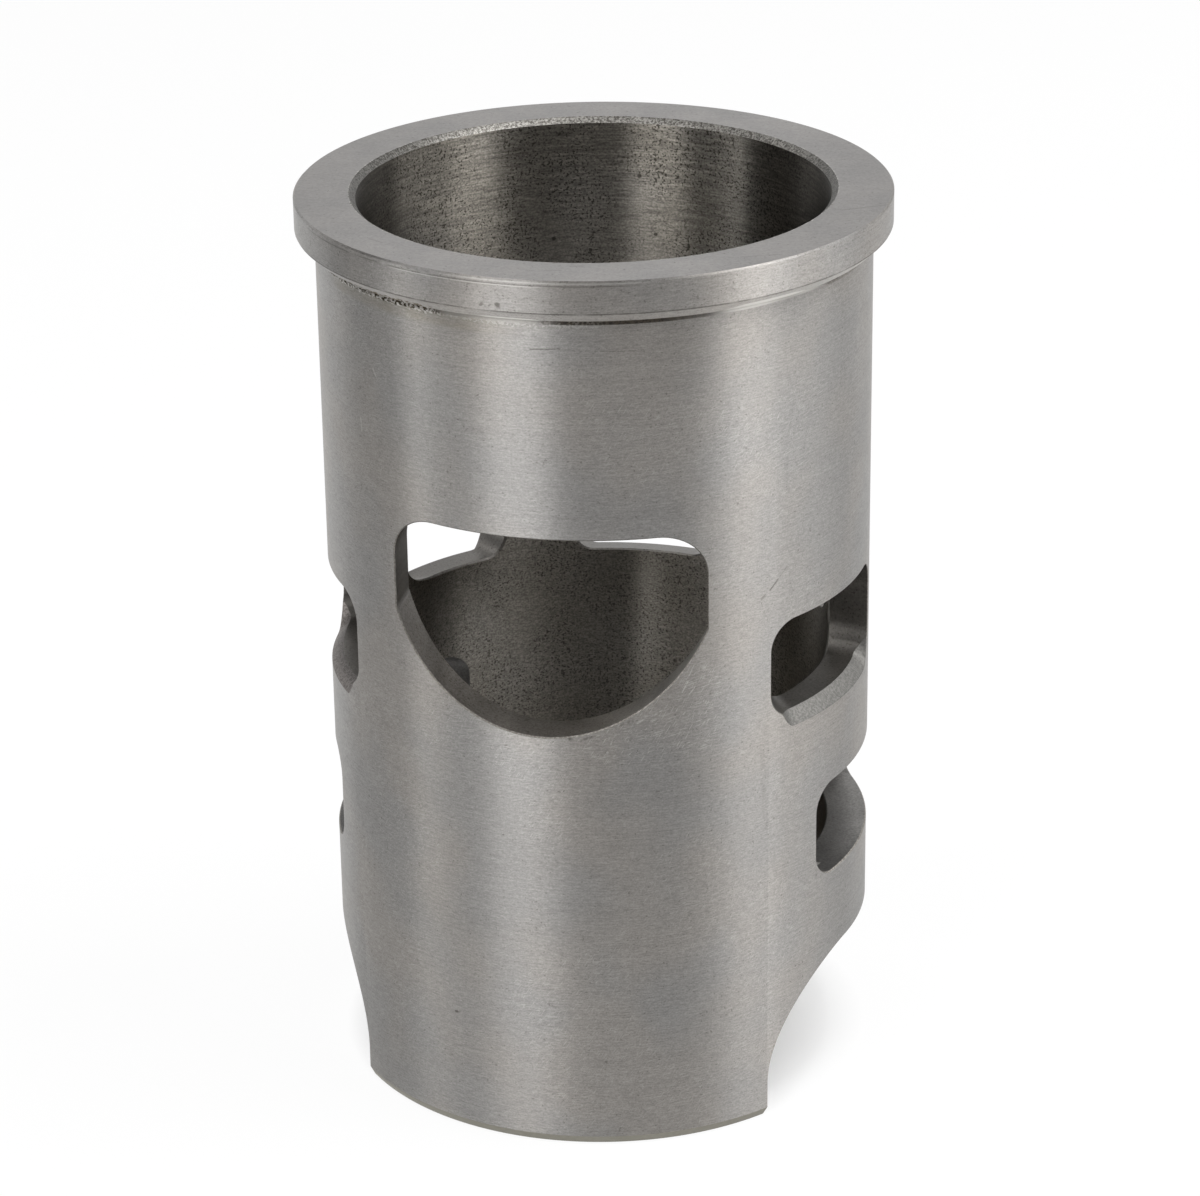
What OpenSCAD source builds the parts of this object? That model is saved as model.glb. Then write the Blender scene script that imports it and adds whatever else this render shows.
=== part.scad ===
// Cylinder liner of a two-stroke engine: one turned sleeve with milled ports,
// a hanging flange at the head end and a cut-away skirt at the crankcase end.
// It stands upright on its skirt. The origin is the centre of the skirt's foot,
// +Z runs up the bore to the head face and the exhaust port faces -Y.
// Sizes are in millimetres. Depths are measured down from the head face.

/* [Bore and body] */
// Diameter of the honed bore
bore_d = 80; // [79:0.1:81]
// Height from the skirt's foot to the head face
liner_h = 157.5; // [155:0.5:162]
// Outside diameter of the turned body
body_d = 94.1; // [93.5:0.1:95]
// Chamfer at the mouth of the bore
mouth_chamfer = 0.95; // [0.3:0.05:1.5]
// Radial width of the lead-in chamfer at the skirt's foot
foot_chamfer_w = 0.6; // [0.3:0.1:1.2]
// Height of the lead-in chamfer at the skirt's foot
foot_chamfer_h = 1.5; // [0.8:0.1:3]

/* [Flange] */
// Outside diameter of the flange
flange_d = 100.8; // [99:0.1:104]
// Thickness of the flange
flange_h = 7.2; // [6:0.1:9]
// Small edge break around the head face
flange_edge_break = 0.3; // [0.1:0.05:0.6]
// Chamfer on the flange's lower edge
flange_under_chamfer = 1.65; // [0.5:0.05:2]

/* [Exhaust port] */
// Depth of the exhaust port's flat roof
exhaust_roof_depth = 45.3; // [43:0.1:48]
// Half the width between the exhaust port's parallel side walls
exhaust_half_w = 26.3; // [24:0.1:27]
// Radius of the exhaust port's two upper corners
exhaust_roof_r = 7.5; // [4:0.5:9]
// Radius of the exhaust port's rounded lower edge
exhaust_floor_r = 28.2; // [27.5:0.1:29]
// Depth of the centre of that lower radius
exhaust_centre_depth = 52.3; // [52:0.1:54]

/* [Transfer ports] */
// Depth of the roof of the transfer ports
transfer_roof_depth = 64.8; // [63:0.1:67]
// Depth of the floor of the front transfer ports
front_floor_depth = 82.4; // [80:0.1:84]
// Direction of the front transfer port's front wall, in degrees from -Y
front_port_front_dir = 25; // [20:1:28]
// Angle at which that wall leaves the body's outside, in degrees from -Y
front_port_front_edge = 49.1; // [46:0.1:52]
// Direction of the front transfer port's rear wall
front_port_rear_dir = 77; // [74:1:80]
// Angle at which that wall leaves the body's outside
front_port_rear_edge = 92.8; // [91:0.1:94]
// Depth of the floor of the rear transfer ports
rear_floor_depth = 81.7; // [80:0.1:84]
// Direction of the rear transfer port's front wall
rear_port_front_dir = 65; // [62:1:68]
// Angle at which that wall meets the bore
rear_port_front_edge = 109; // [108:0.1:111]
// Direction of the rear transfer port's rear wall
rear_port_rear_dir = 130.4; // [128:0.2:132]
// Angle at which that wall meets the bore
rear_port_rear_edge = 142.8; // [140:0.1:144]
// Corner radius of the milled transfer ports
transfer_corner_r = 5; // [3:0.5:6]
// Corner radius at the rear walls of the rear transfer ports
rear_port_rear_r = 4; // [3:0.5:6]
// Radial depth of the 45 degree chamfers on the outside of the port floors
floor_chamfer = 2.06; // [1:0.02:2.4]

/* [Boost port] */
// Half the width of the rear boost port
boost_half_w = 12.2; // [10:0.1:13]
// Depth of its floor where it meets the bore
boost_floor_depth = 82.3; // [80:0.1:84]
// Angle at which the boost port aims up into the bore
boost_tilt = 9.5; // [6:0.5:12]
// Corner radius of the boost port
boost_corner_r = 3; // [2:0.5:5]

/* [Lower windows] */
// Front edge of the lower side windows, along Y
window_front_y = -21.2; // [-23:0.1:-19]
// Rear edge of the lower side windows, along Y
window_rear_y = 26; // [22:0.1:27]
// Depth of the upper edge of the lower side windows
window_roof_depth = 99; // [97:0.1:101]
// Depth of the lower edge of the lower side windows
window_floor_depth = 116.2; // [113:0.1:118]
// Corner radius of the lower side windows
window_corner_r = 4.6; // [3:0.1:6]

/* [Skirt cut-outs] */
// Half the width of the slot milled across the skirt
slot_half_w = 30.4; // [28:0.1:32]
// Height of the slot's flat top above the foot
slot_h = 25.8; // [24:0.1:28]
// Radius of the slot's upper corners
slot_corner_r = 20; // [10:1:22]
// Turn of the slot about the bore, in degrees, clockwise from above
slot_turn = 1.3; // [0:0.1:2]
// Lean of the slot's flat top across the skirt, in degrees
slot_lean = 0.6; // [0:0.1:1]

/* [Hidden] */

bore_r = bore_d / 2;
body_r = body_d / 2;
flange_r = flange_d / 2;
seat_z = liner_h - flange_h;

blank_start = 62;

// The cutters start inside the bore and run out past the flange
reach = flange_r + 10;
past = 4;

round_fn = 180;
arc_fn = 120;
corner_fn = 48;

iron = [0.56, 0.55, 0.53];

// Wall offsets are kept to hundredths of a millimetre
function hundredth(x) = round(x * 100) / 100;

// Turned blank: bore, body, flange and their edge chamfers in one section.
// It starts between the boost port and a rear port, clear of every cutter.
module blank() {
    rotate([0, 0, blank_start]) rotate_extrude($fn = round_fn)
        polygon([
            [bore_r, 0],
            [body_r - foot_chamfer_w, 0],
            [body_r, foot_chamfer_h],
            [body_r, seat_z],
            [flange_r - flange_under_chamfer, seat_z],
            [flange_r, seat_z + flange_under_chamfer],
            [flange_r, liner_h - flange_edge_break],
            [flange_r - flange_edge_break, liner_h],
            [bore_r + mouth_chamfer, liner_h],
            [bore_r, liner_h - mouth_chamfer]
        ]);
}

// Sweeps an upright profile outward from the bore axis, towards an angle from -Y
module outward(dir) {
    rotate([0, 0, dir]) rotate([90, 0, 0]) linear_extrude(reach) children();
}

// Profile open to the right, with rounded corners along its left edge
module open_right(edge, z0, z1, r) {
    translate([edge + r, z0]) square([reach, z1 - z0]);
    translate([edge, z0 + r]) square([2 * r, z1 - z0 - 2 * r]);
    for (z = [z0 + r, z1 - r])
        translate([edge + r, z]) circle(r = r, $fn = corner_fn);
}

// Same profile, open to the left of the edge
module open_left(edge, z0, z1, r) {
    mirror([1, 0]) open_right(-edge, z0, z1, r);
}

// Rounded rectangle between two corners
module rounded(x0, x1, y0, y1, r) {
    translate([x0 + r, y0]) square([x1 - x0 - 2 * r, y1 - y0]);
    translate([x0, y0 + r]) square([x1 - x0, y1 - y0 - 2 * r]);
    for (x = [x0 + r, x1 - r], y = [y0 + r, y1 - r])
        translate([x, y]) circle(r = r, $fn = corner_fn);
}

// Space between two upright walls that leave the bore in different directions.
// Each offset is the distance of a wall from the bore axis.
module wedge(front_dir, front_off, front_r, rear_dir, rear_off, rear_r, z0, z1) {
    intersection() {
        outward(front_dir) open_right(front_off, z0, z1, front_r);
        outward(rear_dir) open_left(rear_off, z0, z1, rear_r);
    }
}

// Everything outside a 45 degree cone that rises to floor height at the chamfer's
// inner edge. It trims a lowered cutter to the chamfer on a port floor.
module floor_cone(floor_z) {
    inner = body_r - floor_chamfer;
    drop = floor_chamfer + past;
    rotate([0, 0, -90]) rotate_extrude($fn = round_fn)
        polygon([
            [inner - past, floor_z + past],
            [inner + drop, floor_z - drop],
            [reach + past, floor_z - drop],
            [reach + past, floor_z + past]
        ]);
}

// Exhaust port: parallel walls, flat roof and a large rounded lower edge
module exhaust_port() {
    roof_z = liner_h - exhaust_roof_depth;
    centre_z = liner_h - exhaust_centre_depth;
    rotate([90, 0, 0]) linear_extrude(reach) {
        intersection() {
            translate([0, centre_z]) circle(r = exhaust_floor_r, $fn = arc_fn);
            translate([-exhaust_half_w, centre_z - exhaust_floor_r - 1])
                square([2 * exhaust_half_w, exhaust_floor_r + 2]);
        }
        translate([-exhaust_half_w, centre_z])
            square([2 * exhaust_half_w, roof_z - exhaust_roof_r - centre_z]);
        translate([exhaust_roof_r - exhaust_half_w, centre_z])
            square([2 * (exhaust_half_w - exhaust_roof_r), roof_z - centre_z]);
        for (side = [-1, 1])
            translate([side * (exhaust_half_w - exhaust_roof_r), roof_z - exhaust_roof_r])
                circle(r = exhaust_roof_r, $fn = corner_fn);
    }
}

// Front transfer port on the +X side
module front_port() {
    floor_z = liner_h - front_floor_depth;
    roof_z = liner_h - transfer_roof_depth;
    front_off = hundredth(body_r * sin(front_port_front_edge - front_port_front_dir));
    rear_off = hundredth(body_r * sin(front_port_rear_edge - front_port_rear_dir));
    wedge(front_port_front_dir, front_off, transfer_corner_r,
          front_port_rear_dir, rear_off, transfer_corner_r, floor_z, roof_z);
    intersection() {
        wedge(front_port_front_dir, front_off, transfer_corner_r,
              front_port_rear_dir, rear_off, transfer_corner_r,
              floor_z - floor_chamfer - 0.2, roof_z - 1);
        floor_cone(floor_z);
    }
}

// Rear transfer port on the +X side
module rear_port() {
    floor_z = liner_h - rear_floor_depth;
    roof_z = liner_h - transfer_roof_depth;
    front_off = hundredth(bore_r * sin(rear_port_front_edge - rear_port_front_dir));
    rear_off = hundredth(bore_r * sin(rear_port_rear_edge - rear_port_rear_dir));
    wedge(rear_port_front_dir, front_off, transfer_corner_r,
          rear_port_rear_dir, rear_off, rear_port_rear_r, floor_z, roof_z);
    intersection() {
        wedge(rear_port_front_dir, front_off, transfer_corner_r,
              rear_port_rear_dir, rear_off, rear_port_rear_r,
              floor_z - floor_chamfer - 0.2, roof_z - 1);
        floor_cone(floor_z);
    }
}

// Boost port on +Y. Its floor and roof fall away from the bore.
module boost_port() {
    floor_z = liner_h - boost_floor_depth;
    port_h = boost_floor_depth - transfer_roof_depth;
    outer_floor_z = floor_z - (body_r - floor_chamfer - bore_r) * tan(boost_tilt);
    translate([0, bore_r, floor_z]) rotate([boost_tilt, 0, 180])
        translate([0, past, 0]) rotate([90, 0, 0]) linear_extrude(reach - bore_r + past)
            rounded(-boost_half_w, boost_half_w, 0, port_h, boost_corner_r);
    intersection() {
        translate([0, bore_r, floor_z]) rotate([boost_tilt, 0, 180])
            translate([0, past, 0]) rotate([90, 0, 0]) linear_extrude(reach - bore_r + past)
                rounded(-boost_half_w, boost_half_w, -floor_chamfer - 0.2, port_h - 1,
                        boost_corner_r);
        floor_cone(outer_floor_z);
    }
}

// Pair of lower side windows, milled straight through along X
module lower_windows() {
    rotate([90, 0, 90]) translate([0, 0, -reach]) linear_extrude(2 * reach)
        rounded(window_front_y, window_rear_y, liner_h - window_floor_depth,
                liner_h - window_roof_depth, window_corner_r);
}

// Slot milled across the skirt along X. It leaves a front and a rear tab.
module skirt_slot() {
    rotate([0, -slot_lean, -slot_turn])
        rotate([90, 0, 90]) translate([0, 0, -reach]) linear_extrude(2 * reach) {
            translate([slot_corner_r - slot_half_w, -2 * past])
                square([2 * (slot_half_w - slot_corner_r), slot_h + 2 * past]);
            translate([-slot_half_w, -2 * past])
                square([2 * slot_half_w, slot_h - slot_corner_r + 2 * past]);
            for (side = [-1, 1])
                translate([side * (slot_half_w - slot_corner_r), slot_h - slot_corner_r])
                    circle(r = slot_corner_r, $fn = arc_fn);
        }
}

// The whole liner
module cylinder_liner() {
    color(iron)
        difference() {
            blank();
            exhaust_port();
            for (side = [0, 1])
                mirror([side, 0, 0]) {
                    front_port();
                    rear_port();
                }
            boost_port();
            lower_windows();
            skirt_slot();
        }
}

cylinder_liner();
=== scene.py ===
import math

import bpy
from mathutils import Matrix, Vector


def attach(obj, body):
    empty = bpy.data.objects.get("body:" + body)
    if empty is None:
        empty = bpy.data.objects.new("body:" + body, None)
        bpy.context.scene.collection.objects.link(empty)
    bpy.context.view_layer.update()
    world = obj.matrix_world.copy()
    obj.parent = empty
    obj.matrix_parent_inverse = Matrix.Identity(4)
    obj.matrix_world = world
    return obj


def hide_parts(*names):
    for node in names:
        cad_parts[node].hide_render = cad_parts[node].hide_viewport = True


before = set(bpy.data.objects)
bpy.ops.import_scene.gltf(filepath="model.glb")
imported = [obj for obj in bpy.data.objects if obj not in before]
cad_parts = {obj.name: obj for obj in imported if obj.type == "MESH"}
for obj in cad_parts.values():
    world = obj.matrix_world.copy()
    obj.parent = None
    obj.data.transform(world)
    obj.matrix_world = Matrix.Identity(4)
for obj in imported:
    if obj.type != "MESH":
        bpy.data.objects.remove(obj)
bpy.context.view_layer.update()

# Lengths below are in millimetres and are turned into metres where meshes are made.
MM = 0.001

# Turned sizes of the liner, as in the part's source
BORE_R = 40.0
BODY_R = 47.05
FLANGE_R = 50.38  # 0.02 under the source's, to stay inside the box of its faceted rim
LINER_H = 157.5
SEAT_Z = LINER_H - 7.2
MOUTH_CHAMFER = 0.95
UNDER_CHAMFER = 1.65
RIM_BREAK = 0.3
FOOT_CHAMFER_W = 0.6
FOOT_CHAMFER_H = 1.5

# Fine edge breaks that only this model has
FINE_BREAK = 0.12
RELIEF_DEPTH = 0.35
RELIEF_H = 1.15
RELIEF_SLOPE = 0.7
RELIEF_ROUND = 0.2

# Facets around the turned surfaces, and the angle up to which they shade smoothly
AROUND = 480
SMOOTH_ANGLE = 25.0
MERGE_DISTANCE = 1e-6

# Port sizes. Heights are above the skirt's foot and angles are from -Y towards +X.
FRONT, SIDE, REAR = 0.0, 90.0, 180.0
EXHAUST_ROOF_Z = LINER_H - 45.3
EXHAUST_HALF_W = 26.3
EXHAUST_ROOF_R = 7.5
EXHAUST_FLOOR_R = 28.2
EXHAUST_CENTRE_Z = LINER_H - 52.3
TRANSFER_ROOF_Z = LINER_H - 64.8
FRONT_FLOOR_Z = LINER_H - 82.4
FRONT_FRONT_DIR, FRONT_FRONT_EDGE = 25.0, 49.1
FRONT_REAR_DIR, FRONT_REAR_EDGE = 77.0, 92.8
REAR_FLOOR_Z = LINER_H - 81.7
REAR_FRONT_DIR, REAR_FRONT_EDGE = 65.0, 109.0
REAR_REAR_DIR, REAR_REAR_EDGE = 130.4, 142.8
TRANSFER_CORNER_R = 5.0
REAR_PORT_REAR_R = 4.0
BOOST_HALF_W = 12.2
BOOST_FLOOR_Z = LINER_H - 82.3
BOOST_TILT = 9.5
BOOST_CORNER_R = 3.0
WINDOW_FRONT_Y, WINDOW_REAR_Y = -21.2, 26.0
WINDOW_FLOOR_Z = LINER_H - 116.2
WINDOW_ROOF_Z = LINER_H - 99.0
WINDOW_CORNER_R = 4.6
SLOT_HALF_W = 30.4
SLOT_H = 25.8
SLOT_CORNER_R = 20.0
SLOT_TURN = 1.3
SLOT_LEAN = 0.6
SLOT_REACH = 140.0
SLOT_BELOW = 8.0

# Chamfers around the ports, measured radially
PORT_BORE_CHAMFER = 0.3
WINDOW_BORE_CHAMFER = 0.2
PORT_OUTER_CHAMFER = 0.22
FLOOR_CHAMFER = 2.05
WINDOW_OUTER_CHAMFER = 0.22
PORT_EDGE_BREAK = 0.12
# Where the floor chamfer starts and is full on the front and rear corners, as the normal's fall
RAMP_FRONT = (0.86, 0.99)
RAMP_REAR = (0.50, 0.93)
CUT_PAST = 1.0
CAP_BEHIND = 3.0
CAP_REACH = 80.0
RAMP_START_GAP = 0.05


# Small helpers

def clear_selection():
    bpy.ops.object.select_all(action="DESELECT")


def make_active(obj):
    clear_selection()
    obj.select_set(True)
    bpy.context.view_layer.objects.active = obj


def polar(r, az, z):
    """A point in metres at radius r, angle az from -Y towards +X, and height z."""
    return Vector((r * math.sin(az), -r * math.cos(az), z)) * MM


# Metal finishes. All their patterns are set out in millimetres on the liner itself.

MM_TO_A_METRE = 1000.0
WARPS_TO_A_CELL = 1.6
PIT_EDGE = (-0.04, 0.05)
LINE_EDGE = 0.05
SCRATCH_FADE = 0.3


class Finish:
    """A metal finish while its shader nodes are being joined up."""

    def __init__(self, name, roughness):
        self.material = bpy.data.materials.new(name)
        self.material.use_nodes = True
        self.nodes = self.material.node_tree.nodes
        self.links = self.material.node_tree.links
        self.metal = self.nodes["Principled BSDF"]
        self.metal.inputs["Metallic"].default_value = 1.0
        self.metal.inputs["Roughness"].default_value = roughness
        metres = self.nodes.new("ShaderNodeTexCoord").outputs["Object"]
        self.place = self.vector("SCALE", metres, scale=MM_TO_A_METRE)
        self.x, self.y, self.z = self.split(self.place)
        self.turn = self.math("ARCTAN2", self.x, self.math("MULTIPLY", self.y, -1.0))
        self.radius = self.math("SQRT", self.math(
            "ADD", self.math("MULTIPLY", self.x, self.x), self.math("MULTIPLY", self.y, self.y)))

    def feed(self, socket, value):
        """Joins another node's output to the socket, or sets a plain value on it."""
        if isinstance(value, bpy.types.NodeSocket):
            self.links.new(value, socket)
        elif value is not None:
            socket.default_value = value

    def math(self, operation, *values, clamp=False):
        node = self.nodes.new("ShaderNodeMath")
        node.operation = operation
        node.use_clamp = clamp
        for socket, value in zip(node.inputs, values):
            self.feed(socket, value)
        return node.outputs[0]

    def vector(self, operation, *values, scale=None):
        node = self.nodes.new("ShaderNodeVectorMath")
        node.operation = operation
        for socket, value in zip(node.inputs, values):
            self.feed(socket, value)
        if scale is not None:
            self.feed(node.inputs["Scale"], scale)
        return node.outputs["Value" if operation in ("DOT_PRODUCT", "LENGTH") else "Vector"]

    def split(self, vector):
        node = self.nodes.new("ShaderNodeSeparateXYZ")
        self.links.new(vector, node.inputs[0])
        return node.outputs

    def join(self, x, y, z):
        node = self.nodes.new("ShaderNodeCombineXYZ")
        for socket, value in zip(node.inputs, (x, y, z)):
            self.feed(socket, value)
        return node.outputs[0]

    def noise(self, stretch, detail=2.0, place=None, roughness=0.5):
        """Noise with so many features to the millimetre along each axis."""
        node = self.nodes.new("ShaderNodeTexNoise")
        where = self.vector("MULTIPLY", self.place if place is None else place, stretch)
        self.links.new(where, node.inputs["Vector"])
        node.inputs["Scale"].default_value = 1.0
        node.inputs["Detail"].default_value = detail
        node.inputs["Roughness"].default_value = roughness
        return node.outputs["Fac"]

    def step(self, value, start, end):
        """Rises smoothly from 0 at start to 1 at end. Start may be the higher one."""
        node = self.nodes.new("ShaderNodeMapRange")
        node.interpolation_type = "SMOOTHSTEP"
        self.feed(node.inputs["Value"], value)
        rising = end > start
        node.inputs["From Min"].default_value = start if rising else end
        node.inputs["From Max"].default_value = end if rising else start
        node.inputs["To Min"].default_value = 0.0 if rising else 1.0
        node.inputs["To Max"].default_value = 1.0 if rising else 0.0
        return node.outputs["Result"]

    def window(self, value, low, high, soft):
        """One between low and high, fading to nothing over the soft distance outside."""
        return self.both(self.step(value, low - soft, low), self.step(value, high + soft, high))

    def both(self, *masks):
        result = masks[0]
        for mask in masks[1:]:
            result = self.math("MULTIPLY", result, mask)
        return result

    def either(self, *masks):
        result = masks[0]
        for mask in masks[1:]:
            result = self.math("MAXIMUM", result, mask)
        return result

    def blend(self, share, under, over):
        """The colour over laid on the colour under by the share."""
        node = self.nodes.new("ShaderNodeMix")
        node.data_type = "RGBA"
        self.feed(node.inputs["Factor"], share)
        for socket, value in ((node.inputs[6], under), (node.inputs[7], over)):
            self.feed(socket, (*value, 1.0) if isinstance(value, tuple) else value)
        return node.outputs[2]

    def shade(self, colour, amount):
        """The colour made lighter or darker by a factor."""
        return self.vector("SCALE", colour, scale=amount)

    def part(self, mask, share):
        """The mask made weaker or stronger by a factor."""
        return self.math("MULTIPLY", mask, share)

    def lifted(self, mask, gain, base):
        """The mask times a gain, on top of a base."""
        return self.math("MULTIPLY_ADD", mask, gain, base)

    def tint(self, colour, mask, change):
        """The colour made lighter or darker by a share where the mask is."""
        return self.shade(colour, self.lifted(mask, change, 1.0))

    def lay(self, colour, mask, strength, over):
        """Another colour laid over this one where the mask is, at some strength."""
        return self.blend(self.part(mask, strength), colour, over)

    def arc(self, reach):
        """A window round the liner, given as (from, to, fade) in degrees."""
        low, high, soft = (math.radians(angle) for angle in reach)
        return self.window(self.turn, low, high, soft)

    def pits(self, cell, share, size, warp=0.0):
        """Small holes: one in each cell of so many millimetres, in a share of the cells."""
        where = self.place
        if warp:
            node = self.nodes.new("ShaderNodeTexNoise")
            stretched = self.vector("SCALE", self.place, scale=WARPS_TO_A_CELL / cell)
            self.links.new(stretched, node.inputs["Vector"])
            node.inputs["Scale"].default_value = 1.0
            node.inputs["Detail"].default_value = 0.0
            push = self.vector("SCALE", self.vector(
                "SUBTRACT", node.outputs["Color"], (0.5, 0.5, 0.5)), scale=warp)
            where = self.vector("ADD", self.place, push)
        cells = self.nodes.new("ShaderNodeTexVoronoi")
        self.links.new(where, cells.inputs["Vector"])
        cells.inputs["Scale"].default_value = 1.0 / cell
        chance = self.split(cells.outputs["Color"])[0]
        reach = self.math("MULTIPLY", self.step(chance, 1.0 - share, 1.0), size / cell)
        inside = self.math("SUBTRACT", reach, cells.outputs["Distance"])
        return self.step(inside, *PIT_EDGE)

    def unrolled(self, radius, seam=0.0):
        """Distance round the liner and height, as on a sheet, from a seam in degrees."""
        turn = self.turn
        if seam:
            away = self.math("SUBTRACT", self.turn, math.radians(seam))
            turn = self.math("WRAP", away, math.pi, -math.pi)
        return self.join(self.math("MULTIPLY", turn, radius), self.z, 0.0)

    def slanted(self, sheet, angle):
        """The sheet's distances along and across a direction at an angle to level."""
        c, s = math.cos(math.radians(angle)), math.sin(math.radians(angle))
        along = self.vector("DOT_PRODUCT", sheet, (c, s, 0.0))
        across = self.vector("DOT_PRODUCT", sheet, (-s, c, 0.0))
        return self.join(along, across, 0.0)

    def hairlines(self, sheet, angle, length, width, keep):
        """Thin scattered lines along one direction."""
        lines = self.noise((1.0 / length, 1.0 / width, 0.0), 0.0, self.slanted(sheet, angle))
        return self.step(lines, keep, keep + LINE_EDGE)

    def scratch(self, sheet, start, end, width):
        """One scratch between two points on the sheet, in millimetres."""
        run = Vector((end[0] - start[0], end[1] - start[1], 0.0))
        ahead = run.normalized()
        aside = Vector((-ahead.y, ahead.x, 0.0))
        off = self.vector("SUBTRACT", sheet, (start[0], start[1], 0.0))
        along = self.vector("DOT_PRODUCT", off, tuple(ahead))
        across = self.math("ABSOLUTE", self.vector("DOT_PRODUCT", off, tuple(aside)))
        return self.both(self.step(across, width, width * SCRATCH_FADE),
                         self.window(along, 0.0, run.length, SCRATCH_FADE))

    def bump(self, height, depth):
        """Relief of a depth in millimetres."""
        node = self.nodes.new("ShaderNodeBump")
        node.inputs["Strength"].default_value = 1.0
        node.inputs["Distance"].default_value = depth * MM
        self.links.new(height, node.inputs["Height"])
        return node.outputs["Normal"]

    def brush_upright(self, amount):
        """Draws highlights out up and down, as fine turned lines do."""
        self.metal.inputs["Anisotropic"].default_value = amount
        self.links.new(self.join(0.0, 0.0, 1.0), self.metal.inputs["Tangent"])

    def dress(self, colour, roughness, normal):
        """Joins up the finish and gives its material."""
        self.feed(self.metal.inputs["Base Color"], colour)
        self.feed(self.metal.inputs["Roughness"], roughness)
        self.feed(self.metal.inputs["Normal"], normal)
        return self.material


# Colours of the metal and its dirt, and GLINT, the colour of painted glints and highlights
IRON_COOL = (0.316, 0.308, 0.298)
IRON_WARM = (0.342, 0.324, 0.304)
HEAD_WARM = (0.345, 0.331, 0.321)
HEAD_COOL = (0.325, 0.315, 0.308)
HEAD_SMUDGE = (0.12, 0.11, 0.10)
HEAD_EDGE = (0.16, 0.15, 0.13)
MOUTH_DARK = (0.088, 0.082, 0.073)
MOUTH_LIGHT = (0.32, 0.31, 0.290)
BORE_BROWN = (0.178, 0.165, 0.144)
BORE_GREY = (0.205, 0.192, 0.172)
PIT = (0.02, 0.018, 0.014)
PORT_IRON = (0.168, 0.159, 0.147)
EXHAUST_IRON = (0.184, 0.172, 0.159)
WINDOW_IRON = (0.198, 0.193, 0.186)
EDGE_DARK = (0.155, 0.145, 0.130)
EDGE_LIGHT = (0.285, 0.272, 0.252)
RAMP_DARK = (0.132, 0.129, 0.122)
RAMP_LIGHT = (0.206, 0.201, 0.191)
RAMP_BROWN_DARK = (0.104, 0.094, 0.088)
RAMP_BROWN_LIGHT = (0.194, 0.180, 0.172)
FOOT_GREEN = (0.235, 0.225, 0.188)
FOOT_BROWN = (0.270, 0.258, 0.225)
DIRT = (0.035, 0.027, 0.018)
CRUST = (0.150, 0.118, 0.075)
GLINT = (0.62, 0.605, 0.575)
STAIN = (0.30, 0.27, 0.20)

# Arcs round the liner, as (from, to, fade) in degrees from -Y towards +X
DIRT_LEFT_ARC = (-54, -24, 7)
DIRT_LIP_ARC = (-60, -24, 6)
DIRT_RIGHT_ARC = (67, 79, 5)
GROOVE_HIGHLIGHT_RIGHT_ARC = (40, 60, 7)
GROOVE_HIGHLIGHT_FRONT_ARC = (-18, -1, 3)
DIRT_GLINTS_ARC = (-50, -22, 4)
FEW_DIRT_GLINTS_ARC = (-60, 10, 6)
RIGHT_HIGHLIGHT_ARC = (42, 51, 7)
FRONT_HIGHLIGHT_ARC = (-8, -1, 4)
RIM_HIGHLIGHT_ARC = (-14, 18, 6)
SECOND_HIGHLIGHT_ARC = (-26, -1, 4)
FLANGE_SHADE_ARC = (-60, 18, 14)
RINGS_ARC = (-52, 14, 8)
STAIN_ARC = (-48, -12, 10)
BORE_RIGHT_SHADE_ARC = (98, 133, 14)
BORE_LEFT_SHADE_ARC = (-104, -60, 9)

# Bands of height, as (from, to, fade) in millimetres
DIRT_LEFT_BAND = (149.0, 149.75, 0.2)
DIRT_LIP_BAND = (150.2, 150.75, 0.25)
DIRT_RIGHT_BAND = (148.95, 149.3, 0.3)
DIRT_GLINTS_BAND = (148.8, 150.0, 0.25)
RIM_HIGHLIGHT_BAND = (157.02, 157.20, 0.08)
SECOND_HIGHLIGHT_BAND = (156.40, 156.46, 0.08)
UPPER_RING_BAND = (156.62, 156.72, 0.10)
LOWER_RING_BAND = (151.98, 152.08, 0.10)
STAIN_BAND = (147.6, 149.2, 1.2)
RUBBED_BAND = (75.0, 87.0, 5.0)
SHADED_CORNER_BAND = (76.0, 78.6, 0.7)

# The rubbed patch below the exhaust port, as (from, to, fade) in millimetres round the body
RUBBED_REACH = (9.0, 28.0, 5.0)
# Painted light: where the exhaust port's wall starts and stops growing lighter downwards, and by how
# much
PAINTED_LIGHT_BELOW = (103.0, 88.0, 0.62)


def vary(finish, pattern, spread):
    """A multiplier that follows a pattern, about 1 by the spread on either side."""
    return finish.lifted(pattern, 2.0 * spread, 1.0 - spread)


# Marks on the turned body, as (start, end, width, strength). Places are the distance
# round the body from -Y towards +X, and the height, in millimetres.
DARK_MARKS = [
    ((-0.7, 144.9), (3.7, 145.1), 0.18, 0.45),
    ((3.6, 145.05), (4.0, 145.15), 0.28, 0.55),
    ((3.9, 145.0), (17.0, 144.6), 0.14, 0.3),
    ((40.0, 99.3), (41.6, 100.7), 0.22, 0.5),
    ((41.6, 100.7), (43.6, 102.4), 0.14, 0.3),
    ((38.2, 98.2), (39.0, 98.6), 0.35, 0.35),
    ((6.4, 76.7), (8.2, 77.4), 0.30, 0.4),
    ((13.0, 79.4), (15.0, 80.2), 0.30, 0.3),
    ((38.4, 71.5), (38.9, 60.0), 0.80, 0.10),
    ((38.9, 60.0), (41.6, 46.0), 0.80, 0.08),
    ((-17.4, 22.2), (-16.8, 22.4), 0.35, 0.6),
]
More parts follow.
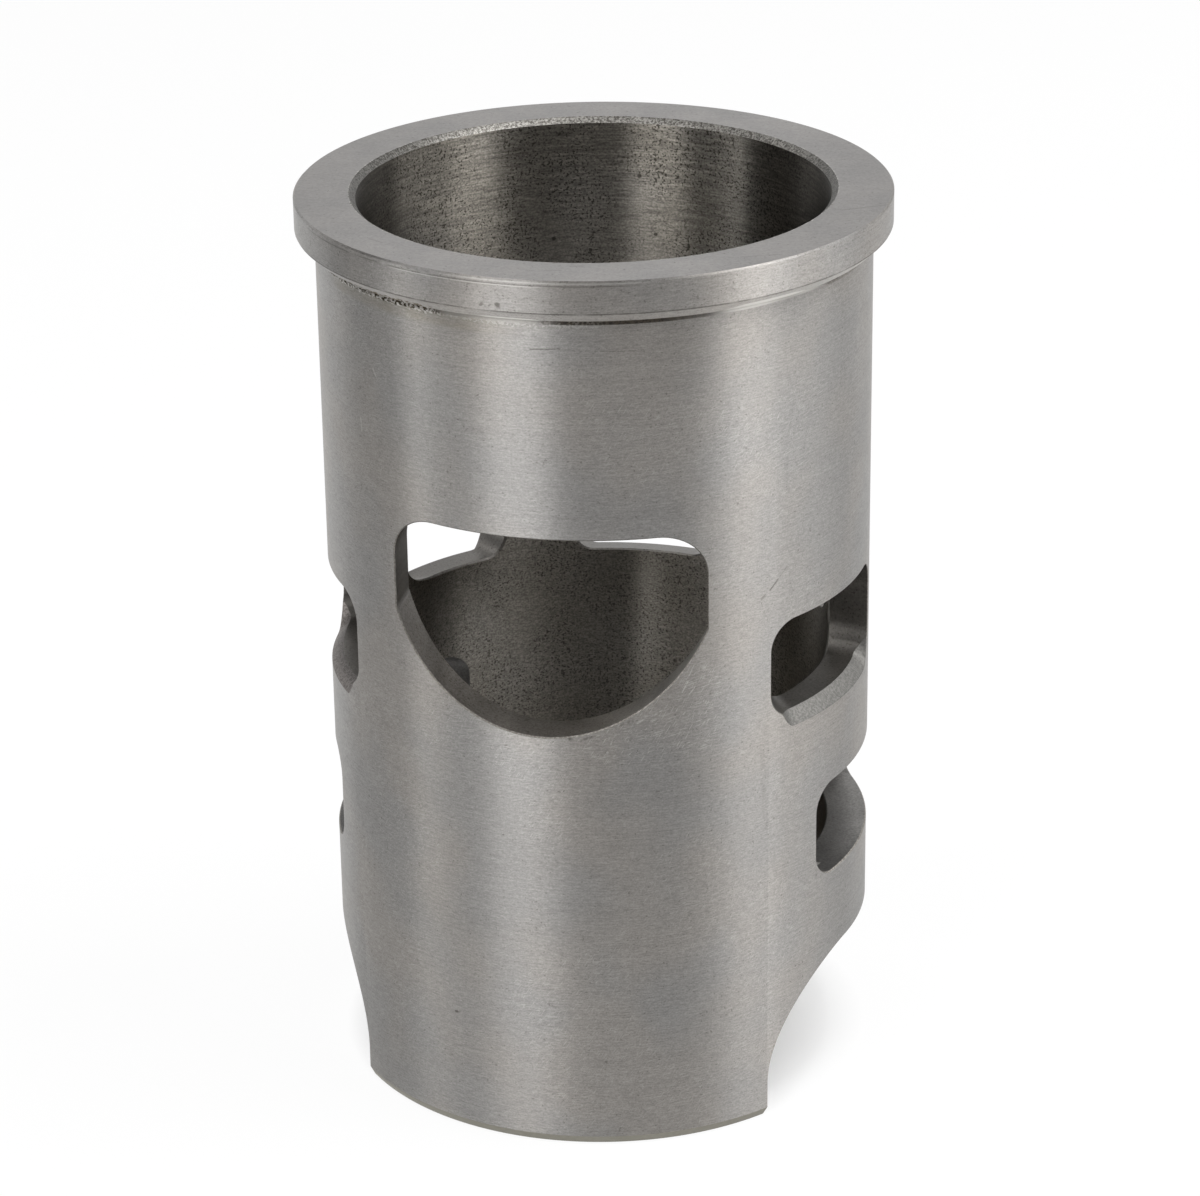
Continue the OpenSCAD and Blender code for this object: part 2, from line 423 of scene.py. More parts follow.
# Bright marks, painted as glints
BRIGHT_MARKS = [
    ((-31.8, 136.2), (-31.1, 135.0), 0.16, 0.6),
    ((-36.0, 126.4), (-35.8, 124.0), 0.14, 0.5),
    ((15.8, 79.6), (17.0, 80.3), 0.18, 0.6),
    ((18.9, 81.0), (19.9, 81.5), 0.20, 0.6),
    ((23.4, 84.4), (24.4, 86.2), 0.16, 0.6),
    ((24.6, 83.8), (25.6, 85.0), 0.16, 0.5),
    ((24.6, 87.2), (25.4, 88.8), 0.14, 0.5),
]
# Faint smudges and one thin line on the head face, in the same way, with places as (x, y)
HEAD_MARKS = [
    ((5.0, -42.4), (7.2, -41.9), 0.35, 0.40),
    ((1.5, -45.0), (4.0, -44.6), 0.30, 0.30),
    ((31.0, -33.5), (37.0, -31.0), 0.25, 0.30),
    ((43.0, -6.8), (49.6, -2.9), 0.22, 0.45),
    ((-30.0, -34.0), (-27.5, -35.5), 0.40, 0.25),
]
# Dirt spots on the turned body, as (place, radius, strength)
SPOTS = [
    ((4.6, 77.2), 0.85, 0.60),
    ((6.0, 78.2), 0.90, 0.25),
    ((-4.8, 153.1), 0.65, 0.60),
    ((-6.1, 153.0), 0.45, 0.40),
    ((-7.3, 153.0), 0.50, 0.40),
]
SPOT_CORE = 0.3


def marks(finish, sheet, places, broken):
    """All the marks of a list in one mask, broken up along their length."""
    masks = [finish.part(finish.scratch(sheet, start, end, width), strength)
             for start, end, width, strength in places]
    return finish.both(finish.either(*masks), broken)


def spots(finish, sheet, ragged):
    """All the dirt spots in one mask, with ragged edges."""
    masks = []
    for place, radius, strength in SPOTS:
        away = finish.vector("LENGTH", finish.vector("SUBTRACT", sheet, (*place, 0.0)))
        away = finish.math("ADD", away, ragged)
        masks.append(finish.part(finish.step(away, radius, radius * SPOT_CORE), strength))
    return finish.either(*masks)


def root_dirt_shade_and_glints(f, crumbs, flecks):
    """Dark dirt in the corner under the flange with painted shade along its groove, painted
    glints in the dirt, and a painted highlight on the groove at the right and front.
    """
    thick = f.math("ADD", f.z, f.part(f.math("SUBTRACT", crumbs, 0.5), 1.1))
    left = f.both(f.arc(DIRT_LEFT_ARC), f.window(thick, *DIRT_LEFT_BAND),
                  f.step(crumbs, 0.40, 0.48))
    lip = f.both(f.arc(DIRT_LIP_ARC), f.window(f.z, *DIRT_LIP_BAND), f.step(crumbs, 0.46, 0.54))
    right = f.both(f.arc(DIRT_RIGHT_ARC), f.window(f.z, *DIRT_RIGHT_BAND),
                   f.part(f.step(crumbs, 0.20, 0.62), 0.42))
    groove = f.both(f.step(f.z, SEAT_Z - RELIEF_H - 0.1, SEAT_Z - RELIEF_H + 0.15),
                    f.step(f.z, SEAT_Z + 0.15, SEAT_Z))
    # Dirt caked in the groove at the front right, and painted shade all round the groove
    groove_dirt_and_shade = f.both(f.step(f.turn, math.radians(2), math.radians(6)),
                   f.step(f.turn, math.radians(35), math.radians(22)))
    groove_dirt_and_shade = f.lifted(groove_dirt_and_shade, 0.55, 0.20)
    # Painted highlight: the groove laid bright and free of dirt where a lamp would catch it
    groove_highlight = f.both(groove, f.either(f.arc(GROOVE_HIGHLIGHT_RIGHT_ARC), f.part(f.arc(GROOVE_HIGHLIGHT_FRONT_ARC), 0.5)))
    dirt = f.either(left, lip, right, f.both(groove, groove_dirt_and_shade))
    dirt = f.math("SUBTRACT", dirt, groove_highlight, clamp=True)
    # Painted glints in the dirt
    painted_glints = f.both(f.either(f.arc(DIRT_GLINTS_ARC), f.part(f.arc(FEW_DIRT_GLINTS_ARC), 0.35)),
                   f.window(thick, *DIRT_GLINTS_BAND), f.step(flecks, 0.50, 0.57))
    return dirt, f.either(painted_glints, f.part(groove_highlight, 0.8))


def painted_flange_highlights(f, on_flange):
    """Painted highlights on the flange's edges: on the lower one in two places and,
    faintly, two lines near the rim at the front."""
    reach = f.either(f.arc(RIGHT_HIGHLIGHT_ARC), f.part(f.arc(FRONT_HIGHLIGHT_ARC), 0.45))
    above = f.math("SUBTRACT", f.z, SEAT_Z)
    low = f.step(f.math("SUBTRACT", f.part(reach, 0.8), above), 0.0, 0.12)
    rim = f.both(f.arc(RIM_HIGHLIGHT_ARC), f.window(f.z, *RIM_HIGHLIGHT_BAND))
    second = f.both(f.arc(SECOND_HIGHLIGHT_ARC), f.window(f.z, *SECOND_HIGHLIGHT_BAND))
    lines = f.either(f.part(rim, 0.35), f.part(second, 0.5))
    return f.both(on_flange, f.either(low, lines))


def turned_iron():
    """Fine turned and ground iron on the outside of the body and the flange."""
    f = Finish("turned iron", 0.47)
    f.brush_upright(0.95)
    sheet = f.unrolled(BODY_R)
    grain = f.noise((0.9, 0.9, 4.2), 2.0)
    sand = f.noise((3.2, 3.2, 4.4), 1.0)
    lines = f.noise((0.03, 0.03, 4.5), 1.0)
    cloud = f.noise((0.06, 0.06, 0.045), 1.0)
    smear = f.noise((0.25, 0.25, 0.5), 2.0)
    fleck = f.noise((1.9, 1.9, 2.4), 1.0)
    crumbs = f.noise((1.2, 1.2, 1.7), 1.0)
    broken = f.step(crumbs, 0.34, 0.52)
    colour = f.blend(f.step(cloud, 0.35, 0.65), IRON_COOL, IRON_WARM)
    streaks = f.math("ADD", f.part(grain, 0.5), f.part(sand, 0.5))
    colour = f.shade(colour, vary(f, streaks, 0.56))
    colour = f.shade(colour, vary(f, lines, 0.11))

    # Small dark specks, more of them on the flange
    on_flange = f.step(f.radius, BODY_R + 0.6, BODY_R + 1.2)
    dense = f.math("ADD", f.part(smear, 0.2), f.part(on_flange, 0.03))
    specks = f.step(f.math("ADD", fleck, dense), 0.79, 0.86)
    colour = f.lay(colour, specks, 0.34, DIRT)

    # The flange: painted shade round the front left and painted light round the rest, with a painted
    # reflection of the floor lightening its lower chamfer
    dull = f.lifted(f.arc(FLANGE_SHADE_ARC), -0.12, 0.05)
    colour = f.tint(colour, on_flange, dull)
    chamfer_top = SEAT_Z + UNDER_CHAMFER
    painted_chamfer_light = f.both(on_flange, f.step(f.z, chamfer_top, chamfer_top - 0.2))
    colour = f.tint(colour, painted_chamfer_light, 0.20)

    # Thin short scratches in scattered patches, and below the exhaust port, painted as bright glints
    thin = f.either(f.hairlines(sheet, 58, 1.7, 0.15, 0.70), f.hairlines(sheet, 12, 2.4, 0.14, 0.70))
    patch = f.step(f.noise((0.05, 0.05, 0.05), 0.0), 0.50, 0.62)
    rubbed = f.both(f.window(f.part(f.turn, BODY_R), *RUBBED_REACH), f.window(f.z, *RUBBED_BAND))
    thin = f.both(thin, f.either(f.part(patch, 0.3), f.part(rubbed, 0.55)))
    colour = f.blend(thin, colour, GLINT)

    # Faint dark lines round the flange, one just above its lower chamfer; dirt, with painted shade in
    # the groove under the flange; and marks
    rings = f.both(f.window(f.z, *UPPER_RING_BAND), f.arc(RINGS_ARC))
    lower = f.part(f.window(f.z, *LOWER_RING_BAND), 1.6)
    rings = f.both(f.either(rings, lower), on_flange, f.step(smear, 0.30, 0.50))
    dirt, painted_glints = root_dirt_shade_and_glints(f, crumbs, fleck)
    stain = f.both(f.arc(STAIN_ARC), f.window(f.z, *STAIN_BAND), smear)
    colour = f.lay(colour, stain, 0.5, STAIN)
    spotted = spots(f, sheet, f.lifted(crumbs, 1.6, -0.7))
    dark = f.either(marks(f, sheet, DARK_MARKS, broken), spotted, f.part(rings, 0.35))
    colour = f.lay(colour, dark, 0.85, DIRT)
    crust = f.blend(f.step(fleck, 0.36, 0.56), DIRT, CRUST)
    colour = f.lay(colour, dirt, 0.9, crust)
    # Painted glints and highlights: the bright marks, glints in the dirt and on the groove, and the
    # flange's edges
    bright = f.either(marks(f, sheet, BRIGHT_MARKS, broken), painted_glints, painted_flange_highlights(f, on_flange))
    colour = f.blend(bright, colour, GLINT)

    height = f.math("ADD", f.part(grain, 0.6), f.part(lines, 0.5))
    rough = f.lifted(smear, 0.10, 0.42)
    rough = f.math("ADD", rough, f.part(f.either(dark, dirt), 0.2))
    rough = f.math("ADD", rough, f.part(f.step(f.z, 157.10, 157.22), 0.07))
    return f.dress(colour, rough, f.bump(height, 0.004))


def lapped_face():
    """The head face: even, with short random laps and a few faint marks."""
    f = Finish("lapped head face", 0.42)
    grain = f.noise((2.2, 2.2, 2.2), 2.0, roughness=0.6)
    cloud = f.noise((0.09, 0.09, 0.09), 2.0)
    laps = f.noise((0.25, 2.6, 1.0), 1.0)
    cross = f.noise((2.6, 0.3, 1.0), 1.0)
    colour = f.blend(f.step(cloud, 0.35, 0.65), HEAD_WARM, HEAD_COOL)
    colour = f.shade(colour, vary(f, grain, 0.26))
    colour = f.shade(colour, vary(f, laps, 0.08))
    # Painted shade: the face darker towards its left and right
    sides = f.step(f.math("ABSOLUTE", f.x), 22.0, 46.0)
    colour = f.tint(colour, sides, -0.12)
    specks = f.step(f.noise((1.7, 1.7, 1.7), 1.0), 0.68, 0.76)
    colour = f.lay(colour, specks, 0.35, DIRT)

    # Faint smudges, one thin line across the face and the mouth's rough edge, dark with painted glints
    flat = f.join(f.x, f.y, 0.0)
    smudges = marks(f, flat, HEAD_MARKS, f.step(grain, 0.34, 0.52))
    colour = f.blend(smudges, colour, HEAD_SMUDGE)
    ragged = f.math("ADD", f.radius, f.part(f.noise((1.5, 1.5, 1.5), 1.0), 0.9))
    edge = f.step(ragged, 41.62, 41.50)
    colour = f.blend(edge, colour, f.blend(f.step(grain, 0.4, 0.6), HEAD_EDGE, GLINT))
    height = f.math("ADD", f.math("ADD", laps, cross), f.part(grain, 0.5))
    height = f.math("ADD", height, f.part(f.both(edge, grain), 6.0))
    rough = f.lifted(cloud, 0.12, 0.38)
    return f.dress(colour, rough, f.bump(height, 0.004))


def rough_mouth():
    """The mouth chamfer, left rough from the tool, with bright and dark grains."""
    f = Finish("mouth chamfer", 0.42)
    grain = f.noise((2.4, 2.4, 2.4), 2.0, roughness=0.75)
    large = f.noise((0.6, 0.6, 0.6), 1.0)
    colour = f.blend(f.step(grain, 0.36, 0.64), MOUTH_DARK, MOUTH_LIGHT)
    colour = f.shade(colour, vary(f, large, 0.35))
    # Painted shade: the chamfer darker towards its left and right
    sides = f.step(f.math("ABSOLUTE", f.x), 26.0, 38.0)
    colour = f.tint(colour, sides, -0.50)
    rough = f.lifted(large, 0.2, 0.36)
    return f.dress(colour, rough, f.bump(grain, 0.06))


def honed_bore():
    """The honed wall: fine crossed lines, small dark pits and a brown cast."""
    f = Finish("honed bore", 0.42)
    f.brush_upright(1.0)
    sheet = f.unrolled(BORE_R, 180.0)
    grain = f.step(f.noise((1.1, 1.1, 3.3), 1.0), 0.30, 0.70)
    sand = f.step(f.noise((2.7, 2.7, 3.2), 1.0), 0.30, 0.70)
    one_way = f.noise((0.05, 3.6, 0.0), 1.0, f.slanted(sheet, 14))
    other_way = f.noise((0.05, 3.6, 0.0), 1.0, f.slanted(sheet, -14))
    cloud = f.noise((0.05, 0.05, 0.05), 1.0)
    density = f.noise((0.11, 0.11, 0.09), 2.0)
    colour = f.blend(f.step(cloud, 0.35, 0.65), BORE_BROWN, BORE_GREY)
    colour = f.shade(f.shade(colour, vary(f, grain, 0.13)), vary(f, sand, 0.22))

    # Painted light: lighter low down. Turned ripples near the mouth
    painted_light_low = f.lifted(f.step(f.z, 126.0, 106.0), 0.22, 1.0)
    colour = f.shade(colour, painted_light_low)
    crossed = f.math("ADD", one_way, f.part(other_way, -1.0))
    colour = f.shade(colour, vary(f, crossed, 0.12))
    near_mouth = f.lifted(f.step(f.z, 118.0, 150.0), 1.0, 0.25)
    turned = f.math("SUBTRACT", f.noise((0.17, 0.17, 2.9), 1.0), 0.5)
    ripple = f.math("MULTIPLY", turned, near_mouth)
    colour = f.shade(colour, f.lifted(ripple, 1.2, 1.12))
    # Painted shade at the bore's left and right ends, above the ports
    sides = f.either(f.arc(BORE_RIGHT_SHADE_ARC), f.part(f.arc(BORE_LEFT_SHADE_ARC), 0.8))
    sides = f.both(sides, f.step(f.z, 98.0, 116.0))
    colour = f.tint(colour, sides, -0.42)

    # Pits of three sizes
    fleck = f.noise((2.6, 2.6, 2.8), 0.0)
    small = f.both(f.step(fleck, 0.60, 0.70), f.step(density, 0.32, 0.56))
    medium = f.both(f.pits(0.70, 0.75, 0.21, 0.20), f.step(density, 0.36, 0.56))
    large = f.pits(3.0, 0.30, 0.42)
    pits = f.either(small, medium, large)
    depth = f.lifted(f.step(f.z, 106.0, 126.0), 0.14, 0.64)
    colour = f.blend(f.both(pits, depth), colour, PIT)
    height = f.math("ADD", f.math("ADD", one_way, other_way), grain)
    height = f.math("SUBTRACT", height, f.part(small, 1.5))
    rough = f.lifted(density, 0.10, 0.355)
    return f.dress(colour, rough, f.bump(height, 0.004))


def milled_wall(name, iron, spread, rough, specked=0.5, low=None, painted_light_and_shade=False):
    """A milled wall of a port, a window or the skirt slot. Where low is given, painted light
    makes the wall lighter from the first height down to the second, by the share that follows.
    With painted_light_and_shade, the wall has painted shade near the front and painted light
    towards the rear and the outside."""
    f = Finish(name, rough)
    grain = f.noise((2.6, 2.6, 2.6), 2.0, roughness=0.7)
    cloud = f.noise((0.15, 0.15, 0.15), 1.0)
    lines = f.noise((0.12, 0.12, 3.2), 1.0)
    bands = f.noise((0.08, 0.08, 0.55), 1.0)
    colour = f.shade(f.shade(iron, vary(f, cloud, 0.25)), vary(f, grain, spread))
    colour = f.shade(colour, vary(f, bands, 0.30))
    if low:
        start, end, lighter = low
        colour = f.tint(colour, f.step(f.z, start, end), lighter)
    # Painted shade near the front and painted light towards the rear and the outside
    if painted_light_and_shade:
        outer = f.lifted(f.step(f.radius, 42.0, 46.0), 0.41, 0.225)
        rear = f.step(f.y, -14.0, 2.0)
        colour = f.shade(colour, f.lifted(rear, outer, 0.66))

    # Painted shade on the front ports' lower rear corners, the left one most
    sides = f.either(f.step(f.x, -38.0, -42.0), f.part(f.step(f.x, 38.0, 42.0), 0.3))
    corner = f.both(sides, f.step(f.y, -2.0, 0.0), f.window(f.z, *SHADED_CORNER_BAND))
    colour = f.tint(colour, corner, -0.5)

    # Dark specks, and one small burr on the floor of each window, painted as a glint
    specks = f.step(f.noise((2.0, 2.0, 2.0), 1.0), 0.64, 0.72)
    colour = f.lay(colour, specks, specked, DIRT)
    burr_glint = f.both(f.window(f.z, 41.0, 41.7, 0.3), f.window(f.y, -15.8, -14.6, 0.5),
                  f.window(f.radius, 43.4, 43.9, 0.3))
    colour = f.lay(colour, burr_glint, 0.7, GLINT)
    height = f.math("ADD", grain, f.part(lines, 0.6))
    varied = f.lifted(cloud, 0.15, rough - 0.07)
    varied = f.math("ADD", varied, f.part(corner, 0.2))
    return f.dress(colour, varied, f.bump(height, 0.008))


def filed_edge():
    """The narrow edge break round the exhaust port and the windows, dark and specked."""
    f = Finish("filed port edge", 0.5)
    grain = f.noise((2.6, 2.6, 2.6), 2.0, roughness=0.75)
    colour = f.blend(f.step(grain, 0.40, 0.66), EDGE_DARK, EDGE_LIGHT)
    return f.dress(colour, 0.55, f.bump(grain, 0.006))


def rough_ramp():
    """The sloped outer floors of the transfer ports, rough and grey, browner on the left, with
    painted shade there further in and painted light towards the outside."""
    f = Finish("rough port ramp", 0.6)
    grain = f.noise((2.4, 2.4, 2.4), 2.0, roughness=0.7)
    colour = f.blend(f.step(grain, 0.34, 0.66), RAMP_DARK, RAMP_LIGHT)
    brown = f.blend(f.step(grain, 0.36, 0.62), RAMP_BROWN_DARK, RAMP_BROWN_LIGHT)
    # Painted light and shade: darker further in, lighter towards the outside
    edge = f.lifted(f.step(f.radius, 44.9, 47.0), 0.62, 0.72)
    colour = f.blend(f.step(f.x, -20.0, -30.0), colour, f.shade(brown, edge))
    return f.dress(colour, 0.62, f.bump(grain, 0.02))


def dull_foot():
    """The dull band of the foot chamfer, with a green and brown cast."""
    f = Finish("dull foot chamfer", 0.5)
    grain = f.noise((1.2, 1.2, 2.5), 3.0)
    colour = f.blend(f.noise((0.2, 0.2, 0.2)), FOOT_GREEN, FOOT_BROWN)
    colour = f.shade(colour, vary(f, grain, 0.15))
    return f.dress(colour, 0.5, f.bump(grain, 0.01))


TURNED = turned_iron()
HEAD = lapped_face()
MOUTH = rough_mouth()
HONED = honed_bore()
MILLED = milled_wall("milled port wall", PORT_IRON, spread=0.50, rough=0.40)
EXHAUST = milled_wall("milled exhaust wall", EXHAUST_IRON, spread=0.70, rough=0.42, low=PAINTED_LIGHT_BELOW)
WINDOW = milled_wall("milled window wall", WINDOW_IRON, spread=0.60, rough=0.5, specked=0.25, painted_light_and_shade=True)
BREAK = filed_edge()
RAMP = rough_ramp()
FOOT = dull_foot()
SLOTS = [TURNED, HEAD, MOUTH, HONED, MILLED, EXHAUST, WINDOW, BREAK, RAMP, FOOT]
CUTTER_SLOTS = [MILLED, EXHAUST, WINDOW, BREAK, RAMP]


# The turned blank

FACE_TOLERANCE = 0.02
MOUTH_DEPTH = 1.5


def blank_section():
    """The sleeve's section as (radius, height), from the bore's foot outwards and round."""
    f = FINE_BREAK
    return [
        (BORE_R + f, 0.0),
        (BODY_R - FOOT_CHAMFER_W - f, 0.0),
        (BODY_R - FOOT_CHAMFER_W, f),
        (BODY_R, FOOT_CHAMFER_H),
        (BODY_R, SEAT_Z - RELIEF_H),
        (BODY_R - RELIEF_DEPTH, SEAT_Z - RELIEF_H + RELIEF_SLOPE),
        (BODY_R - RELIEF_DEPTH, SEAT_Z - RELIEF_ROUND),
        (BODY_R - RELIEF_DEPTH + RELIEF_ROUND, SEAT_Z),
        (FLANGE_R - UNDER_CHAMFER - f, SEAT_Z),
        (FLANGE_R - UNDER_CHAMFER, SEAT_Z + f),
        (FLANGE_R - f, SEAT_Z + UNDER_CHAMFER - f),
        (FLANGE_R, SEAT_Z + UNDER_CHAMFER + f),
        (FLANGE_R, LINER_H - RIM_BREAK),
        (FLANGE_R - RIM_BREAK, LINER_H),
        (BORE_R + MOUTH_CHAMFER + f, LINER_H),
        (BORE_R + MOUTH_CHAMFER, LINER_H - f / 2),
        (BORE_R, LINER_H - MOUTH_CHAMFER),
        (BORE_R, f),
    ]


def turn_blank():
    """Spins the section up from one circle of edges, ring by ring."""
    section = blank_section()
    clear_selection()
    bpy.ops.mesh.primitive_circle_add(
        vertices=AROUND, radius=section[0][0] * MM, fill_type="NOTHING",
        location=(0, 0, section[0][1] * MM))
    obj = bpy.context.object
    bpy.ops.object.mode_set(mode="EDIT")
    bpy.ops.mesh.select_all(action="SELECT")
    for (r0, z0), (r1, z1) in zip(section, section[1:] + section[:1]):
        bpy.ops.mesh.extrude_edges_move(
            TRANSFORM_OT_translate={"value": (0, 0, (z1 - z0) * MM)})
        bpy.ops.transform.resize(value=(r1 / r0, r1 / r0, 1))
    bpy.ops.mesh.select_all(action="SELECT")
    bpy.ops.mesh.remove_doubles(threshold=MERGE_DISTANCE)
    bpy.ops.mesh.normals_make_consistent(inside=False)
    bpy.ops.object.mode_set(mode="OBJECT")
    bpy.ops.object.transform_apply(location=True, rotation=True, scale=True)
    obj.name = "liner"
    return obj


def blank_material(r, z):
    """Which finish a face of the blank has, by the radius and height of its centre."""
    if z > LINER_H - FACE_TOLERANCE:
        return HEAD
    if r < BORE_R + FACE_TOLERANCE:
        return HONED
    if r < BORE_R + MOUTH_CHAMFER + FINE_BREAK and z > LINER_H - MOUTH_DEPTH:
        return MOUTH
    if z < FOOT_CHAMFER_H:
        return FOOT
    return TURNED


# Port outlines. Each point is (wall direction, offset, other direction, other offset,
# share of the other, height, normal along the offset, normal along the height).

STEP = 1.0
ARC_STEPS = 14
FLOOR_ARC_STEPS = 72
EXHAUST_SIDE_STEPS = 10
EXHAUST_ROOF_STEPS = 36
SLOT_CORNER_STEPS = 48
SLANTED_WIDTH = 30.0


def arc_points(direction, centre, z, r, start, end, steps):
    """Outline points along a rounded corner, between two angles in degrees."""
    points = []
    for i in range(steps + 1):
        a = math.radians(start + (end - start) * i / steps)
        points.append((direction, centre + r * math.cos(a), direction, 0.0, 0.0,
                       z + r * math.sin(a), math.cos(a), math.sin(a)))
    return points


def between(a, b, steps):
    """Points strictly between two outline points, walls or floors alike."""
    points = []
    normal = a[6:]
    for i in range(1, steps):
        t = i / steps
        z = a[5] + (b[5] - a[5]) * t
        if a[0] == b[0]:
            points.append((a[0], a[1] + (b[1] - a[1]) * t, a[0], 0.0, 0.0, z, *normal))
        else:
            points.append((a[0], a[1], b[0], b[1], t, z, *normal))
    return points


def rounded_outline(front, rear, floor_z, roof_z, front_r, rear_r):
    """Four rounded corners joined by straight sides. front and rear are (direction,
    offset) of the two side walls, seen from outside with the front wall on the left."""
    (fd, fu), (rd, ru) = front, rear
    corners = [
        arc_points(rd, ru - rear_r, floor_z + rear_r, rear_r, -90, 0, ARC_STEPS),
        arc_points(rd, ru - rear_r, roof_z - rear_r, rear_r, 0, 90, ARC_STEPS),
        arc_points(fd, fu + front_r, roof_z - front_r, front_r, 90, 180, ARC_STEPS),
        arc_points(fd, fu + front_r, floor_z + front_r, front_r, 180, 270, ARC_STEPS),
    ]
    across = int((ru - fu if fd == rd else SLANTED_WIDTH) / STEP)
    upright = int((roof_z - floor_z) / STEP)
    outline = []
    for i, corner in enumerate(corners):
        outline += corner
        following = corners[(i + 1) % 4]
        steps = upright if i % 2 == 0 else across
        outline += between(corner[-1], following[0], steps)
    return outline


def exhaust_outline():
    """Flat roof with rounded corners, straight sides and a large round lower edge."""
    half, r = EXHAUST_HALF_W, EXHAUST_ROOF_R
    meet = math.degrees(math.acos(half / EXHAUST_FLOOR_R))
    lower = arc_points(FRONT, 0.0, EXHAUST_CENTRE_Z, EXHAUST_FLOOR_R,
                       180 + meet, 360 - meet, FLOOR_ARC_STEPS)
    right = arc_points(FRONT, half - r, EXHAUST_ROOF_Z - r, r, 0, 90, ARC_STEPS)
    left = arc_points(FRONT, r - half, EXHAUST_ROOF_Z - r, r, 90, 180, ARC_STEPS)
    right_foot = (FRONT, half, FRONT, 0.0, 0.0, lower[-1][5], 1.0, 0.0)
    left_foot = (FRONT, -half, FRONT, 0.0, 0.0, lower[0][5], -1.0, 0.0)
    outline = list(lower)
    outline += between(right_foot, right[0], EXHAUST_SIDE_STEPS) + right
    outline += between(right[-1], left[0], EXHAUST_ROOF_STEPS) + left
    outline += between(left[-1], left_foot, EXHAUST_SIDE_STEPS)
    return outline


def ramp_share(nu, nz):
    """How much of the floor chamfer a point has, by the outline's normal there."""
    start, full = RAMP_FRONT if nu < 0 else RAMP_REAR
    return min(1.0, max(0.0, (-nz - start) / (full - start)))


def ring(outline, station, tilt):
    """The outline laid on a cylinder of the station's radius, grown along its normals, with
    its floor dropped and the whole let down by tilt degrees past the bore. Where there is
    no floor chamfer, the ring where it starts is drawn out to its end."""
    nominal, narrow, grow, drop = station[:4]
    points = []
    for da, ua, db, ub, share, z, nu, nz in outline:
        r = narrow + (nominal - narrow) * ramp_share(nu, nz)
        sink = (r - BORE_R) * math.tan(math.radians(tilt))
        az_a = math.radians(da) + math.asin((ua + grow * nu) / r)
        az_b = math.radians(db) + math.asin((ub + grow * nu) / r) if share else 0.0
        az = az_a * (1 - share) + az_b * share
        points.append(polar(r, az, z + grow * nz - drop * ramp_share(nu, nz) - sink))
    return points


def port_cutter(name, outline, stations, tilt=0.0, mirror=False):
    """A closed plug lofted through rings at rising radii. Each station is (radius, radius
    away from the ramp, growth, floor drop, finish of the band that ends there)."""
    rings = [ring(outline, station, tilt) for station in stations]
    count = len(outline)
    verts = [p for points in rings for p in points]
    faces, finishes = [], []
    for k in range(len(rings) - 1):
        for i in range(count):
            j = (i + 1) % count
            faces.append((k * count + i, k * count + j, (k + 1) * count + j, (k + 1) * count + i))
            finish = stations[k + 1][4]
            if finish is RAMP and not (ramp_share(*outline[i][6:]) and ramp_share(*outline[j][6:])):
                finish = BREAK if k == len(rings) - 2 else MILLED
            finishes.append(finish)
    for k, points in ((0, rings[0]), (len(rings) - 1, rings[-1])):
        hub = len(verts)
        hub_point = sum(points, Vector()) / count
        if k:
            # The outer cap is drawn out to a point so that it stays clear of the body
            away = Vector((hub_point.x, hub_point.y, 0)).normalized() * CAP_REACH * MM
            hub_point = Vector((away.x, away.y, hub_point.z))
        verts.append(hub_point)
        for i in range(count):
            j = (i + 1) % count
            faces.append((hub, k * count + i, k * count + j))
            finishes.append(stations[0][4])
    if mirror:
        verts = [Vector((-v.x, v.y, v.z)) for v in verts]
    mesh = bpy.data.meshes.new(name)
    mesh.from_pydata(verts, [], faces)
    for mat in CUTTER_SLOTS:
        mesh.materials.append(mat)
    for face, finish in zip(mesh.polygons, finishes):
        face.material_index = CUTTER_SLOTS.index(finish)
    obj = bpy.data.objects.new(name, mesh)
    bpy.context.collection.objects.link(obj)
    make_active(obj)
    bpy.ops.object.mode_set(mode="EDIT")
    bpy.ops.mesh.select_all(action="SELECT")
    bpy.ops.mesh.normals_make_consistent(inside=False)
    bpy.ops.object.mode_set(mode="OBJECT")
    return obj


def stations(wall, bore_chamfer, outer_chamfer, floor_chamfer=0.0):
    """Radii of a port cutter: past the bore, its inner chamfer, the wall, its outer
    chamfer and past the body. The wall's finish is given."""
    inner = BORE_R - CUT_PAST
    outer = BODY_R + CUT_PAST
    flare = bore_chamfer + CUT_PAST
    edge = BODY_R - outer_chamfer
    rows = [(inner - CAP_BEHIND, inner - CAP_BEHIND, flare, 0.0, wall),
            (inner, inner, flare, 0.0, wall),
            (BORE_R + bore_chamfer, BORE_R + bore_chamfer, 0.0, 0.0, wall)]
    if floor_chamfer:
        rows.append((BODY_R - floor_chamfer, edge - RAMP_START_GAP, 0.0, 0.0, wall))
        rows.append((edge, edge, 0.0, floor_chamfer - outer_chamfer, RAMP))
        rows.append((outer, outer, CUT_PAST + outer_chamfer, floor_chamfer + CUT_PAST, RAMP))
    else:
        rows.append((edge, edge, 0.0, 0.0, wall))
        rows.append((outer, outer, CUT_PAST + outer_chamfer, 0.0, BREAK))
    return rows


